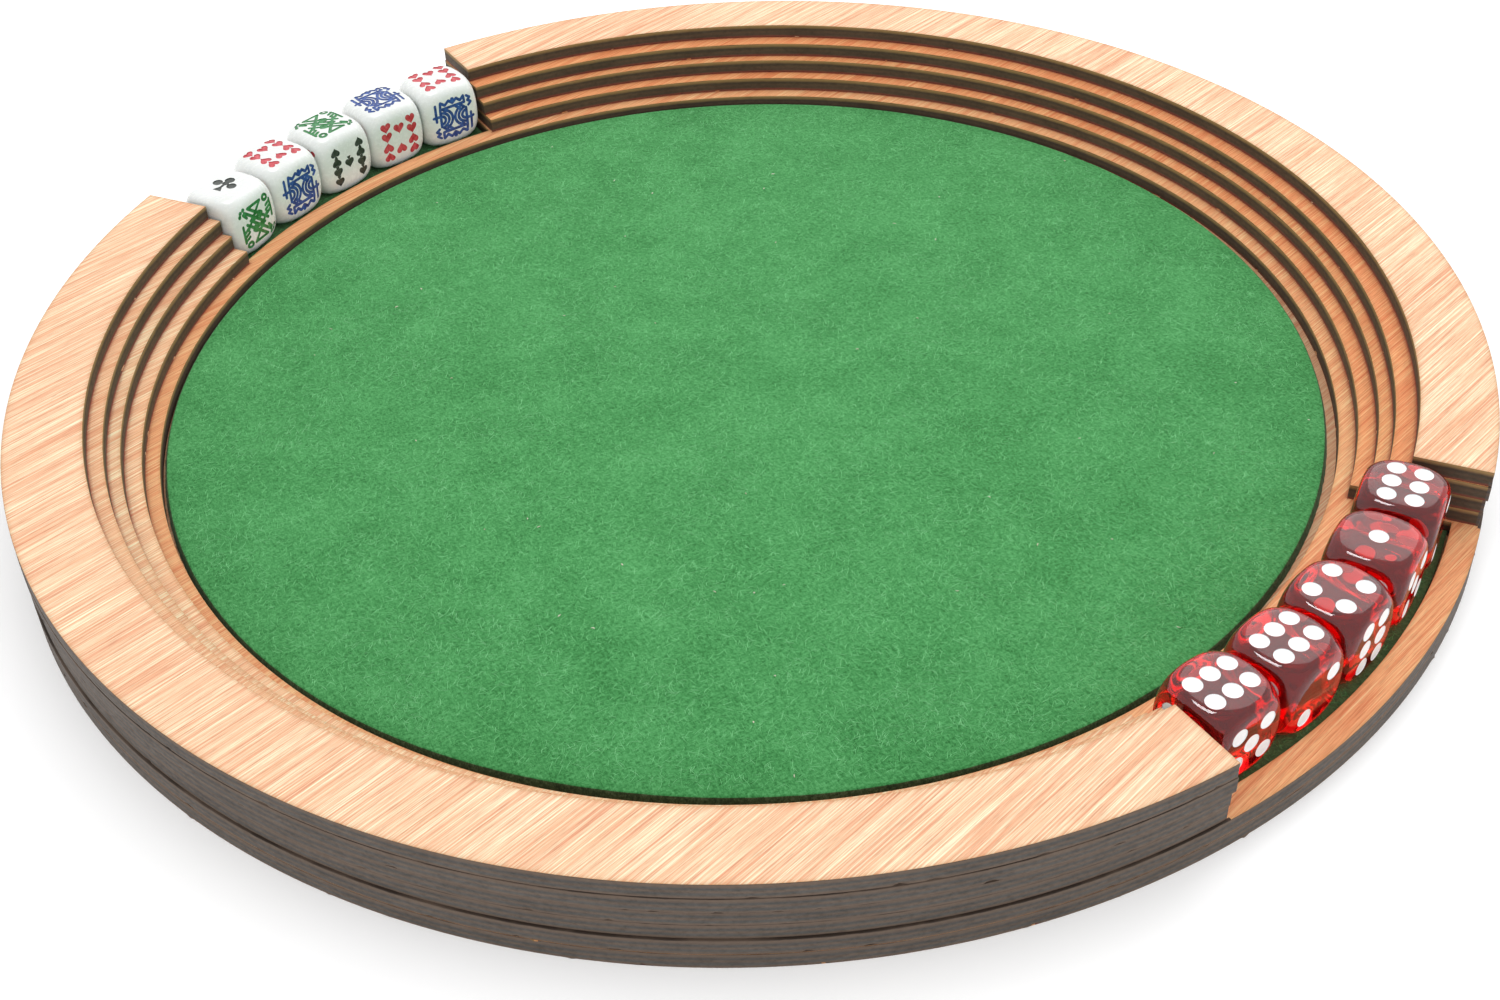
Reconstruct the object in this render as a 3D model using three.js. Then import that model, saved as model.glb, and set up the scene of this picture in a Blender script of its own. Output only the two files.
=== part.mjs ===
// Round dice tray, glued up from laser-cut plywood layers, with a felt rolling surface and two
// open slots that each hold a row of five dice.
//
// Units are millimetres. +Z is up. The origin is the middle of the tray's underside, and +X runs
// through the middle of the slot with the red dice; the poker dice are on -X. Each slot is cut
// through the four upper layers only, so a thin ledge and an outer strip of the pocket ring keep
// the dice in their row. "front" is the -Y side of the tray and "rear" is the +Y side.

import * as THREE from 'three';
import { mergeVertices } from 'three/addons/utils/BufferGeometryUtils.js';

// ---- driving dimensions ----
const TRAY_RADIUS = 150;
const LAYER = 3.33;                 // thickness of one sheet of plywood
const WALL_TIERS = 4;               // stepped layers above the pocket ring
const SLOT_HALF_ANGLE = THREE.MathUtils.degToRad(17.9);

const POCKET_INNER_RADIUS = 126.5;
const POCKET_OUTER_RADIUS = 144.7;
const WELL_RADIUS = 122.05;         // the hole in the pocket ring, round the rolling mat
const WELL_OFFSET = [0.09, -0.39];  // it was glued on slightly off centre
const MAT_FELT = 2;                 // thickness of the rolling mat's craft felt
const MAT_RADIUS = 120.4;
const MAT_OFFSET = [-0.55, -0.8];   // the mat too lies slightly off centre
const LINER_FELT = 1.5;             // thickness of the pockets' felt, pressed flat by the dice
const LINER_GAP = 0.4;              // room round a pocket's felt liner

const DIE = 15.8;                   // width across the flats of a nominal 16 mm die
const DIE_BALL_RADIUS = 10.75;      // the sphere that rounds off a die's corners
const DIE_DIVISIONS = 6;            // facets along one side of a die
const DICE_RADIUS = 135.5;          // the row's centre line
const DIE_LIFT_CLEARANCE = 0.02;    // the dice rest on the felt's fibres

// How a die stands: its place along the slot, then its turn away from square to the row.
const RED_DICE = [[-14.1, 3.0], [-7.15, -0.8], [-0.2, -4.5], [6.85, -6.0], [13.9, -7.5]];
const POKER_DICE = [[14.2, -0.5], [7.1, -0.5], [0.0, 0.0], [-7.0, 0.5], [-14.0, 3.5]];

// Each tier was cut and glued by hand, so its outer edge and its ends are a little out of line.
const TIER_INSET = [0.45, 0.35, 0.0, 0.1];
const TIER_RADII = {                // each tier's inner edge, from the lowest up
  front: [125.2, 128.65, 131.3, 134.4],
  rear: [125.2, 128.65, 131.3, 135.3],
};
const TIER_TRIM = [0.22, 0.18, 0.0, 0.05];

const ARC_SEGMENTS = 22;            // half the chords in one wall arc
const POCKET_SEGMENTS = 7;          // half the chords along one pocket
const CIRCLE_SEGMENTS = 48;         // half the chords in a full circle

// ---- materials, one for each kind of surface ----
const WOOD = { color: 0xe0a468, roughness: 0.6, metalness: 0 };
const GREEN_FELT = { color: 0x2f9150, roughness: 0.95, metalness: 0 };
const RED_RESIN = { color: 0x9c1420, roughness: 0.12, metalness: 0 };
const WHITE_RESIN = { color: 0xf2f2ee, roughness: 0.2, metalness: 0 };

const tray = new THREE.Group();

function addPiece(name, geometry, finish) {
  const piece = new THREE.Mesh(geometry, new THREE.MeshStandardMaterial(finish));
  piece.name = name;
  tray.add(piece);
  return piece;
}

// A flat band between two radii and two angles, in the XY plane.
function bandOutline(outline, innerRadius, outerRadius, from, to) {
  outline.absarc(0, 0, outerRadius, from, to, false);
  outline.absarc(0, 0, innerRadius, to, from, true);
  outline.closePath();
  return outline;
}

function sheet(outline, thickness, segments) {
  return new THREE.ExtrudeGeometry(outline, { depth: thickness, bevelEnabled: false, curveSegments: segments });
}

// The angles that a slot leaves between its two ends, for the slot on side 0 (+X) or 1 (-X).
function slotSpan(side, margin = 0) {
  const middle = side * Math.PI;
  return [middle - SLOT_HALF_ANGLE + margin, middle + SLOT_HALF_ANGLE - margin];
}

// ---- the board that closes the bottom ----
function addBaseBoard() {
  const outline = new THREE.Shape().absarc(0, 0, TRAY_RADIUS, 0, 2 * Math.PI, false);
  addPiece('base_board', sheet(outline, LAYER, CIRCLE_SEGMENTS), WOOD);
}

// ---- the full ring above it, with a window for each row of dice ----
function addPocketRing() {
  const outline = new THREE.Shape().absarc(0, 0, TRAY_RADIUS, 0, 2 * Math.PI, false);
  outline.holes.push(new THREE.Path().absarc(...WELL_OFFSET, WELL_RADIUS, 0, 2 * Math.PI, true));
  for (const side of [0, 1]) {
    const window = bandOutline(new THREE.Path(), POCKET_INNER_RADIUS, POCKET_OUTER_RADIUS, ...slotSpan(side));
    outline.holes.push(window);
  }
  const ring = addPiece('pocket_ring', sheet(outline, LAYER, CIRCLE_SEGMENTS / 2), WOOD);
  ring.position.z = LAYER;
}

// ---- the stepped wall: on each side four arcs, from the widest step up to the rim ----
function addWallArcs() {
  for (let tier = 0; tier < WALL_TIERS; tier += 1) {
    const outerRadius = TRAY_RADIUS - TIER_INSET[tier];
    const end = SLOT_HALF_ANGLE + THREE.MathUtils.degToRad(TIER_TRIM[tier]);
    for (const [side, middle] of [['front', -Math.PI / 2], ['rear', Math.PI / 2]]) {
      const halfSpan = Math.PI / 2 - end;
      const span = [middle - halfSpan, middle + halfSpan];
      const outline = bandOutline(new THREE.Shape(), TIER_RADII[side][tier], outerRadius, ...span);
      const arc = addPiece(`${side}_arc_${tier + 1}`, sheet(outline, LAYER, ARC_SEGMENTS), WOOD);
      arc.position.z = (2 + tier) * LAYER;
    }
  }
}

// ---- the felt: the round rolling mat and a liner in each pocket ----
function addFelt() {
  const matOutline = new THREE.Shape().absarc(0, 0, MAT_RADIUS, 0, 2 * Math.PI, false);
  const mat = addPiece('rolling_mat', sheet(matOutline, MAT_FELT, CIRCLE_SEGMENTS), GREEN_FELT);
  mat.position.set(...MAT_OFFSET, LAYER);
  for (const [side, name] of [[0, 'red_pocket_liner'], [1, 'poker_pocket_liner']]) {
    const span = slotSpan(side, LINER_GAP / DICE_RADIUS);
    const inner = POCKET_INNER_RADIUS + LINER_GAP;
    const outer = POCKET_OUTER_RADIUS - LINER_GAP;
    const outline = bandOutline(new THREE.Shape(), inner, outer, ...span);
    addPiece(name, sheet(outline, LINER_FELT, POCKET_SEGMENTS), GREEN_FELT).position.z = LAYER;
  }
}

// A cube whose edges and corners are cut back to a sphere round its middle.
function dieGeometry() {
  let cube = new THREE.BoxGeometry(DIE, DIE, DIE, DIE_DIVISIONS, DIE_DIVISIONS, DIE_DIVISIONS);
  cube.deleteAttribute('normal');
  cube.deleteAttribute('uv');
  cube = mergeVertices(cube);
  const corner = new THREE.Vector3();
  const points = cube.getAttribute('position');
  for (let index = 0; index < points.count; index += 1) {
    corner.fromBufferAttribute(points, index).clampLength(0, DIE_BALL_RADIUS);
    points.setXYZ(index, corner.x, corner.y, corner.z);
  }
  return cube;
}

// ---- one row of dice, standing square to the slot apart from each die's own small turn ----
function addDice(label, slotAngle, places, finish) {
  places.forEach(([along, turn], index) => {
    const die = addPiece(`${label}_die_${index + 1}`, dieGeometry(), finish);
    const angle = slotAngle + THREE.MathUtils.degToRad(along);
    const height = LAYER + LINER_FELT + DIE_LIFT_CLEARANCE + DIE / 2;
    die.position.set(DICE_RADIUS * Math.cos(angle), DICE_RADIUS * Math.sin(angle), height);
    die.rotation.z = angle + THREE.MathUtils.degToRad(turn);
  });
}

addBaseBoard();
addPocketRing();
addWallArcs();
addFelt();
addDice('red', 0, RED_DICE, RED_RESIN);
addDice('poker', Math.PI, POKER_DICE, WHITE_RESIN);

export default tray;
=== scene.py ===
# A round dice tray, glued up from laser-cut plywood, with a felt mat and two rows of five dice.
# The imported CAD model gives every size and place. Each CAD piece is replaced by a finely made one.
import math

import bmesh
import bpy
import numpy as np
from mathutils import Matrix, Vector, noise
from mathutils.geometry import delaunay_2d_cdt


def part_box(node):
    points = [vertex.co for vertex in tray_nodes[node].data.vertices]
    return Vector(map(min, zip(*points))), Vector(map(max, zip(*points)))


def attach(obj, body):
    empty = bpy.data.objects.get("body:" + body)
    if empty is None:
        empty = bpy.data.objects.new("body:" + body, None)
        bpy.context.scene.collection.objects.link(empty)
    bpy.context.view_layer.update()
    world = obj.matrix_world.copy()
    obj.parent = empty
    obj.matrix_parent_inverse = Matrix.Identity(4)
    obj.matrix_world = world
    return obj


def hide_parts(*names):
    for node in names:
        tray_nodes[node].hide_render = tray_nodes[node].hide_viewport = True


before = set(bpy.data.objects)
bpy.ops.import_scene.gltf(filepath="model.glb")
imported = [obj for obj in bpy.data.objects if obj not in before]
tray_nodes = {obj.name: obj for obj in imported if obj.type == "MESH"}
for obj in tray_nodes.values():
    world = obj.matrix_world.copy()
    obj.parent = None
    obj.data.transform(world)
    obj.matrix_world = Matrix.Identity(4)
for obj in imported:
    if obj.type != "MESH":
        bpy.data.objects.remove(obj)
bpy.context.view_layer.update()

MM = 0.001

# ---- the camera ----
CAMERA_AZIMUTH = 42.06
CAMERA_ELEVATION = 36.418
CAMERA_DISTANCE = 421.6 * MM
CAMERA_AIM_SHIFT = (-0.456 * MM, -35.457 * MM)   # where the lens points: beside and short of the middle
CAMERA_ROLL = -2.514
CAMERA_LENS = 47.04

# ---- wood ----
ANGLE_STEP = math.radians(0.25)
RADIUS_STEP = 3.2 * MM
HEIGHT_STEP = 0.7 * MM
CUT_BEVEL = 0.11 * MM
EDGE_RINGS = (0.25 * MM, 0.6 * MM, 1.2 * MM, 2.2 * MM)   # rows of points beside a cut edge
GRAIN_ANGLE = 87.0
EDGE_REACH = 6.0                 # how far, in mm, the edge measures count

# ---- felt ----
MAT_CELLS = 250
FELT_EDGE = 0.45 * MM
MAT_SHORT = (math.radians(300), math.radians(26), 1.35 * MM)   # cut short: where, how wide, how much
MAT_FIBRES = 15500               # in each of four batches
MAT_LINT = 46
LINER_FIBRES = 2600
LINER_GAP = 0.4 * MM
FIBRE_SEED = 7

# ---- dice ----
# How square a die's edges are, the ball that cuts its corners, and the fillet between them.
RED_ROUNDING = (11.0, 10.85 * MM, 1.2 * MM)
POKER_ROUNDING = (8.0, 10.8 * MM, 1.8 * MM)
DIE_GRID = 38
DIE_LETTERS = "abcde"
MARK_DEPTH = 0.14 * MM
# Marks are drawn in millimetres.
PIP_RADIUS = 1.76
HEART_SIZE = 3.05
SPADE_SIZE = 2.75
EMBLEM_PEN = 0.78
EMBLEM_STRETCH = (1.12, 0.95)    # the emblem's width and height against its drawing


# ==== reading the CAD model ====

def corners(node):
    """The corners of a CAD node's mesh, one row each."""
    return mesh_points(tray_nodes[node].data)


def ring_radii(node):
    """The different distances from the tray's axis at which a node has corners."""
    distances = np.hypot(*corners(node)[:, :2].T)
    return sorted(set(np.round(distances, 5)))


def well():
    """The middle and the radius of the round hole in the pocket ring."""
    points = corners("pocket_ring")[:, :2]
    rim = points[np.hypot(*points.T) < ring_radii("front_arc_1")[0]]
    low, high = rim.min(axis=0), rim.max(axis=0)
    return (low + high) / 2, float((high - low).max() / 2)


def half_span(node, middle):
    """How far a node reaches to either side of an angle round the axis."""
    points = corners(node)
    return float(np.abs(angle_from(polar_of(points)[0], middle)).max())


# ==== material building ====

class Graph:
    """Short names for the shader nodes of one material."""

    def __init__(self, name):
        self.material = bpy.data.materials.new(name)
        self.material.use_nodes = True
        self.tree = self.material.node_tree
        self.shader = self.tree.nodes["Principled BSDF"]
        self.output = self.tree.nodes["Material Output"]

    def add(self, kind, **settings):
        node = self.tree.nodes.new(kind)
        for key, value in settings.items():
            setattr(node, key, value)
        return node

    def plug(self, socket, value):
        if isinstance(value, bpy.types.NodeSocket):
            self.tree.links.new(value, socket)
        else:
            socket.default_value = value

    def place(self, scale=(1, 1, 1), turn=0.0, offset=(0, 0, 0)):
        """Object coordinates in metres, turned about Z and then scaled."""
        source = self.add("ShaderNodeTexCoord").outputs["Object"]
        turned = self.add("ShaderNodeMapping")
        turned.inputs["Rotation"].default_value[2] = math.radians(turn)
        self.plug(turned.inputs["Vector"], source)
        scaled = self.add("ShaderNodeMapping")
        scaled.inputs["Scale"].default_value = scale
        scaled.inputs["Location"].default_value = offset
        self.plug(scaled.inputs["Vector"], turned.outputs[0])
        return scaled.outputs[0]

    def noise(self, vector, detail=2.0, roughness=0.5, distortion=0.0):
        node = self.add("ShaderNodeTexNoise")
        self.plug(node.inputs["Vector"], vector)
        node.inputs["Scale"].default_value = 1.0
        node.inputs["Detail"].default_value = detail
        node.inputs["Roughness"].default_value = roughness
        node.inputs["Distortion"].default_value = distortion
        return node.outputs["Fac"]

    def cells(self, vector):
        node = self.add("ShaderNodeTexVoronoi")
        self.plug(node.inputs["Vector"], vector)
        node.inputs["Scale"].default_value = 1.0
        return node.outputs["Distance"]

    def ramp(self, value, *stops):
        """A colour ramp; a stop is a place and either a grey or a colour."""
        node = self.add("ShaderNodeValToRGB")
        self.plug(node.inputs["Fac"], value)
        elements = node.color_ramp.elements
        while len(elements) < len(stops):
            elements.new(1.0)
        for element, (place, tone) in zip(elements, stops):
            element.position = place
            shade = tone if isinstance(tone, tuple) else (tone, tone, tone)
            element.color = (*shade, 1.0)
        return node.outputs["Color"]

    def math(self, operation, first, second=0.0):
        node = self.add("ShaderNodeMath", operation=operation)
        self.plug(node.inputs[0], first)
        self.plug(node.inputs[1], second)
        return node.outputs[0]

    def mix(self, share, first, second, blend="MIX"):
        node = self.add("ShaderNodeMix", data_type="RGBA", blend_type=blend)
        self.plug(node.inputs["Factor"], share)
        for socket, value in ((node.inputs["A"], first), (node.inputs["B"], second)):
            self.plug(socket, (*value, 1.0) if isinstance(value, tuple) else value)
        return node.outputs["Result"]

    def set(self, name, value):
        """Gives one of the shader's own inputs a constant value."""
        self.shader.inputs[name].default_value = value

    def multiply(self, first, second):
        return self.mix(1.0, first, second, "MULTIPLY")

    def attribute(self, name):
        return self.add("ShaderNodeAttribute", attribute_name=name).outputs["Fac"]

    def bump(self, height, distance, strength=1.0):
        node = self.add("ShaderNodeBump")
        self.plug(node.inputs["Height"], height)
        node.inputs["Distance"].default_value = distance
        node.inputs["Strength"].default_value = strength
        self.plug(self.shader.inputs["Normal"], node.outputs[0])


def colour_inputs(graph, colour, roughness):
    graph.plug(graph.shader.inputs["Base Color"], colour)
    graph.plug(graph.shader.inputs["Roughness"], roughness)


def veneer_material(name, offset, painted_light_tone):
    """Pale straight-grained veneer, browned where the laser cut its edge; a per-layer tone paints light and
    shade on it, and painted shade darkens the crease at the foot of each wall.
    """
    graph = Graph(name)
    turn = 90.0 - GRAIN_ANGLE
    streaks = graph.noise(graph.place((3300, 34, 300), turn, offset), 4.0, 0.68, 0.1)
    bands = graph.noise(graph.place((330, 10, 60), turn, offset), 3.0, 0.6, 0.3)
    fibres = graph.noise(graph.place((7500, 300, 900), turn, offset), 2.0, 0.6)
    tone = graph.ramp(
        streaks,
        (0.36, (0.70, 0.33, 0.20)),
        (0.46, (0.80, 0.49, 0.31)),
        (0.54, (0.85, 0.60, 0.40)),
        (0.63, (0.91, 0.84, 0.61)),
    )
    wide = graph.ramp(
        bands,
        (0.30, (0.90, 0.74, 0.66)),
        (0.50, (0.97, 0.93, 0.90)),
        (0.70, (1.0, 1.0, 0.96)),
    )
    tone = graph.multiply(tone, wide)
    tone = graph.multiply(tone, graph.ramp(fibres, (0.34, 0.80), (0.5, 0.97), (0.62, 1.0)))
    # painted light and shade: each layer's tone is made lighter or darker as the light falls on that step
    tone = graph.multiply(tone, painted_light_tone)
    wander = graph.noise(graph.place((900, 900, 900)), 2.0)
    edge = graph.math("ADD", graph.attribute("edge"), graph.math("MULTIPLY", wander, 0.35))
    near = graph.math("DIVIDE", edge, 2.0)
    scorch = graph.ramp(near, (0.05, 0.95), (0.16, 0.35), (0.45, 0.08), (0.9, 0.0))
    tone = graph.mix(scorch, tone, (0.36, 0.17, 0.055))
    # painted shade: the tread darkens towards dark red in the crease at the foot of each wall
    foot = graph.math("ADD", graph.attribute("foot"), graph.math("MULTIPLY", wander, 0.25))
    shade = graph.ramp(graph.math("DIVIDE", foot, 2.0), (0.05, 0.85), (0.16, 0.45), (0.42, 0.0))
    tone = graph.mix(shade, tone, (0.22, 0.035, 0.02))
    pores = graph.cells(graph.place((330, 45, 330), turn, offset))
    tone = graph.mix(graph.ramp(pores, (0.0, 0.55), (0.035, 0.0)), tone, (0.16, 0.06, 0.03))
    colour_inputs(graph, tone, graph.ramp(streaks, (0.3, 0.74), (0.7, 0.60)))
    graph.set("Specular IOR Level", 0.20)
    graph.bump(graph.mix(0.5, streaks, fibres), 0.00006, 0.6)
    return graph.material


def char_material(name, warm, cool, crack, lip, foot):
    """A laser-cut face: charred in bands along its plies, and tinged at its upper and lower edges."""
    graph = Graph(name)
    ply = graph.attribute("ply")
    sway = graph.noise(graph.place((38, 38, 160)), 3.0, 0.6)
    level = graph.math("ADD", ply, graph.math("MULTIPLY", graph.math("SUBTRACT", sway, 0.5), 0.34))
    tone = graph.ramp(
        level,
        (0.08, warm),
        (0.28, cool),
        (0.46, warm),
        (0.64, tuple(0.86 * part for part in cool)),
        (0.86, warm),
    )
    patches = graph.noise(graph.place((70, 70, 240)), 4.0, 0.65)
    tone = graph.multiply(tone, graph.ramp(patches, (0.3, 0.74), (0.5, 0.96), (0.72, 1.10)))
    soot = graph.noise(graph.place((820, 820, 1500)), 3.0, 0.7)
    tone = graph.multiply(tone, graph.ramp(soot, (0.32, 0.80), (0.5, 1.0), (0.7, 1.12)))
    wander = graph.noise(graph.place((260, 260, 20)), 3.0)
    drift = graph.math("MULTIPLY", graph.math("SUBTRACT", wander, 0.5), 0.10)
    tone = graph.mix(graph.ramp(graph.math("ADD", ply, drift), (0.68, 0.0), (0.92, 0.85)), tone, lip)
    tone = graph.mix(graph.ramp(graph.math("SUBTRACT", ply, drift), (0.05, 0.85), (0.20, 0.0)), tone, foot)
    seam = graph.math("ADD", graph.math("ABSOLUTE", graph.math("SUBTRACT", ply, 0.5)), drift)
    breaks = graph.ramp(graph.noise(graph.place((85, 85, 500)), 3.0), (0.40, 0.25), (0.58, 1.0))
    line = graph.multiply(graph.ramp(seam, (0.44, 0.0), (0.485, 0.9)), breaks)
    tone = graph.mix(line, tone, crack)
    colour_inputs(graph, tone, graph.ramp(soot, (0.3, 0.75), (0.7, 0.58)))
    graph.set("Specular IOR Level", 0.30)
    graph.bump(graph.mix(0.5, patches, soot), 0.00004, 0.5)
    return graph.material


def felt_material(name, dark, middle, light):
    """Pressed wool felt: cloudy, with short tangled fibres in paler and darker green."""
    graph = Graph(name)
    clouds = graph.noise(graph.place((90, 90, 90)), 3.0, 0.6)
    tufts = graph.noise(graph.place((1500, 1500, 1500)), 3.0, 0.6, 0.3)
    strands = graph.noise(graph.place((4600, 900, 2000), 21.0), 2.0, 0.6, 0.4)
    across = graph.noise(graph.place((4600, 900, 2000), -64.0), 2.0, 0.6, 0.4)
    weave = graph.mix(0.5, strands, across)
    blend = graph.mix(0.16, graph.mix(0.55, tufts, weave), clouds)
    tone = graph.ramp(blend, (0.40, dark), (0.50, middle), (0.60, light))
    colour_inputs(graph, tone, 0.95)
    graph.set("Specular IOR Level", 0.12)
    graph.set("Sheen Weight", 0.15)
    graph.set("Sheen Roughness", 0.5)
    graph.set("Sheen Tint", (0.55, 0.9, 0.6, 1.0))
    graph.bump(graph.mix(0.6, tufts, weave), 0.00005, 0.5)
    return graph.material


def fibre_material(name, low, high):
    """Single fibres, each clump a little paler or darker than the next."""
    graph = Graph(name)
    shade = graph.noise(graph.place((700, 700, 700)), 2.0)
    colour_inputs(graph, graph.ramp(shade, (0.35, low), (0.65, high)), 0.85)
    graph.set("Specular IOR Level", 0.2)
    return graph.material


def resin_material():
    """Clear red acrylic: coloured through its depth, polished outside, with faint haze and scuffs."""
    graph = Graph("red_resin")
    haze = graph.noise(graph.place((160, 160, 160)), 3.0)
    scuffs = graph.noise(graph.place((2200, 500, 900), 25.0), 3.0, 0.7)
    colour_inputs(graph, graph.ramp(haze, (0.3, (0.97, 0.045, 0.05)), (0.7, (1.0, 0.06, 0.065))), 0.03)
    graph.plug(graph.shader.inputs["Roughness"], graph.ramp(scuffs, (0.45, 0.015), (0.75, 0.07)))
    graph.set("Transmission Weight", 0.96)
    graph.set("IOR", 1.49)
    graph.bump(scuffs, 0.000004, 0.5)
    depth = graph.add("ShaderNodeVolumeAbsorption")
    depth.inputs["Color"].default_value = (0.995, 0.0, 0.06, 1.0)
    depth.inputs["Density"].default_value = 110.0
    graph.tree.links.new(depth.outputs[0], graph.output.inputs["Volume"])
    return graph.material


def ivory_material():
    """Opaque white moulded plastic with a soft gloss."""
    graph = Graph("white_resin")
    cloud = graph.noise(graph.place((90, 90, 90)), 3.0)
    scuffs = graph.noise(graph.place((1500, 600, 900), 40.0), 3.0, 0.7)
    tone = graph.ramp(cloud, (0.3, (0.68, 0.70, 0.68)), (0.7, (0.73, 0.75, 0.735)))
    colour_inputs(graph, tone, graph.ramp(scuffs, (0.4, 0.22), (0.75, 0.36)))
    graph.set("Subsurface Weight", 0.25)
    graph.set("Subsurface Radius", (0.0015, 0.0014, 0.0012))
    graph.bump(scuffs, 0.000004, 0.5)
    return graph.material


def paint_material(name, deep, worn, roughness=0.35):
    """Enamel wiped into a recess: thin and paler in places."""
    graph = Graph(name)
    wear = graph.noise(graph.place((900, 900, 900)), 4.0, 0.7)
    colour_inputs(graph, graph.ramp(wear, (0.38, deep), (0.66, worn)), roughness)
    graph.bump(wear, 0.00002, 0.5)
    return graph.material


# ==== mesh building ====

def add_object(name, data):
    thing = bpy.data.objects.new(name, data)
    bpy.context.scene.collection.objects.link(thing)
    return thing


def finish_mesh(name, mesh, materials, sharp_angle=30.0):
    """Shades a mesh smooth up to an angle and puts it in the scene."""
    mesh.shade_smooth()
    mesh.set_sharp_from_angle(angle=math.radians(sharp_angle))
    for material in materials:
        mesh.materials.append(material)
    return add_object(name, mesh)


def stand_in(piece, node, body):
    """The piece moves with the body and is shown in the CAD node's place."""
    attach(piece, body)
    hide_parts(node)


def steps_between(low, high, spacing, margins):
    """Places from low to high: close together by the ends, evenly spaced in the middle."""
    margins = [margin for margin in margins if 2.5 * margin < high - low]
    first = low + (margins[-1] if margins else 0.0)
    last = high - (margins[-1] if margins else 0.0)
    count = max(1, round((last - first) / spacing))
    middle = [first + (last - first) * index / count for index in range(count + 1)]
    outer = margins[:-1]
    return [low, *(low + m for m in outer), *middle, *(high - m for m in reversed(outer)), high]


def join_steps(*runs):
    """Runs of places that follow on from each other, with each shared place kept once."""
    places = [runs[0][0]]
    for run in runs:
        places += run[1:]
    return places


def polar_slab(angles, radii, heights, is_solid, closed):
    """A slab in cells of angle and radius, walled wherever a solid cell meets an empty one."""
    columns = len(angles) - 1
    rows = len(radii) - 1
    layers = len(heights) - 1
    points = []
    known = {}
    faces = []

    def point(i, j, k):
        if closed and i == columns:
            i = 0
        if radii[j] == 0.0:
            i = 0
        key = (i, j, k)
        if key not in known:
            known[key] = len(points)
            angle = angles[i]
            points.append((radii[j] * math.cos(angle), radii[j] * math.sin(angle), heights[k]))
        return known[key]

    def face(*keys):
        ring = list(dict.fromkeys(point(*key) for key in keys))
        if len(ring) > 2:
            faces.append(ring)

    solid = np.zeros((columns, rows), bool)
    for i in range(columns):
        for j in range(rows):
            solid[i, j] = is_solid((angles[i] + angles[i + 1]) / 2, (radii[j] + radii[j + 1]) / 2)

    def empty(i, j):
        if j < 0 or j >= rows:
            return True
        if closed:
            i %= columns
        return not 0 <= i < columns or not solid[i, j]

    for i in range(columns):
        for j in range(rows):
            if not solid[i, j]:
                continue
            face((i, j, layers), (i, j + 1, layers), (i + 1, j + 1, layers), (i + 1, j, layers))
            face((i, j, 0), (i + 1, j, 0), (i + 1, j + 1, 0), (i, j + 1, 0))
            for k in range(layers):
                if empty(i, j + 1):
                    face((i, j + 1, k), (i + 1, j + 1, k), (i + 1, j + 1, k + 1), (i, j + 1, k + 1))
                if empty(i, j - 1) and radii[j] > 0.0:
                    face((i + 1, j, k), (i, j, k), (i, j, k + 1), (i + 1, j, k + 1))
                if empty(i + 1, j):
                    face((i + 1, j + 1, k), (i + 1, j, k), (i + 1, j, k + 1), (i + 1, j + 1, k + 1))
                if empty(i - 1, j):
                    face((i, j, k), (i, j + 1, k), (i, j + 1, k + 1), (i, j, k + 1))
    return points, faces


def bevelled(name, points, faces, width, segments=2):
    """A mesh whose sharp edges are rounded off."""
    mesh = bpy.data.meshes.new(name)
    mesh.from_pydata(points, [], faces)
    work = bmesh.new()
    work.from_mesh(mesh)
    sharp = [edge for edge in work.edges if edge.is_manifold and edge.calc_face_angle() > math.radians(40)]
    bmesh.ops.bevel(
        work, geom=sharp, offset=width, segments=segments, profile=0.5, affect="EDGES", clamp_overlap=True
    )
    work.to_mesh(mesh)
    work.free()
    return mesh


def mesh_points(mesh):
    points = np.zeros(len(mesh.vertices) * 3)
    mesh.vertices.foreach_get("co", points)
    return points.reshape(-1, 3)


def set_points(mesh, points):
    mesh.vertices.foreach_set("co", points.astype(np.float32).ravel())
    mesh.update()


def polygon_values(mesh, name):
    """A vector for each of a mesh's faces, such as its normal."""
    values = np.zeros(len(mesh.polygons) * 3, np.float32)
    mesh.polygons.foreach_get(name, values)
    return values.reshape(-1, 3)


def set_attribute(mesh, name, values):
    attribute = mesh.attributes.new(name, "FLOAT", "POINT")
    attribute.data.foreach_set("value", np.asarray(values, np.float32))


def noise_values(points, scale, seed):
    """Smooth noise from -1 to 1 at each point."""
    shift = Vector((seed * 17.3, seed * 5.9, seed * 11.1))
    return np.array([noise.noise(Vector(point) * scale + shift) for point in points])


# ==== the plywood layers ====

def polar_of(points):
    return np.arctan2(points[:, 1], points[:, 0]), np.hypot(points[:, 0], points[:, 1])


def angle_from(angles, middle):
    return (angles - middle + math.pi) % (2 * math.pi) - math.pi


def from_slot(angle):
    """How far round an angle is from the middle of the nearer slot."""
    return np.abs((angle + math.pi / 2) % math.pi - math.pi / 2)


def chip_and_wear(mesh, low, high, edge_radii, seed):
    """Nicks the upright cut faces where veneer broke away, and lets them waver slightly."""
    points = mesh_points(mesh)
    angles, radii = polar_of(points)
    away = np.min([np.abs(radii - radius) for radius in edge_radii], axis=0)
    wall = np.where(away < 0.02 * MM)[0]
    rim = np.minimum(points[wall, 2] - low, high - points[wall, 2])
    waver = noise_values(points[wall], 260, seed) * 0.03 * MM
    chips = np.clip(noise_values(points[wall] * (1, 1, 3), 420, seed + 3) - 0.42, 0, 1)
    chips *= np.clip(1 - rim / (0.55 * MM), 0, 1) * 1.6 * MM
    outwards = points[wall, :2] / radii[wall, None]
    inner = radii[wall] < sum(edge_radii) / len(edge_radii)
    side = np.where(inner, 1.0, -1.0)
    points[wall, :2] += outwards * (side * (np.minimum(chips, 0.35 * MM) + np.maximum(waver, 0)))[:, None]
    set_points(mesh, points)


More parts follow.
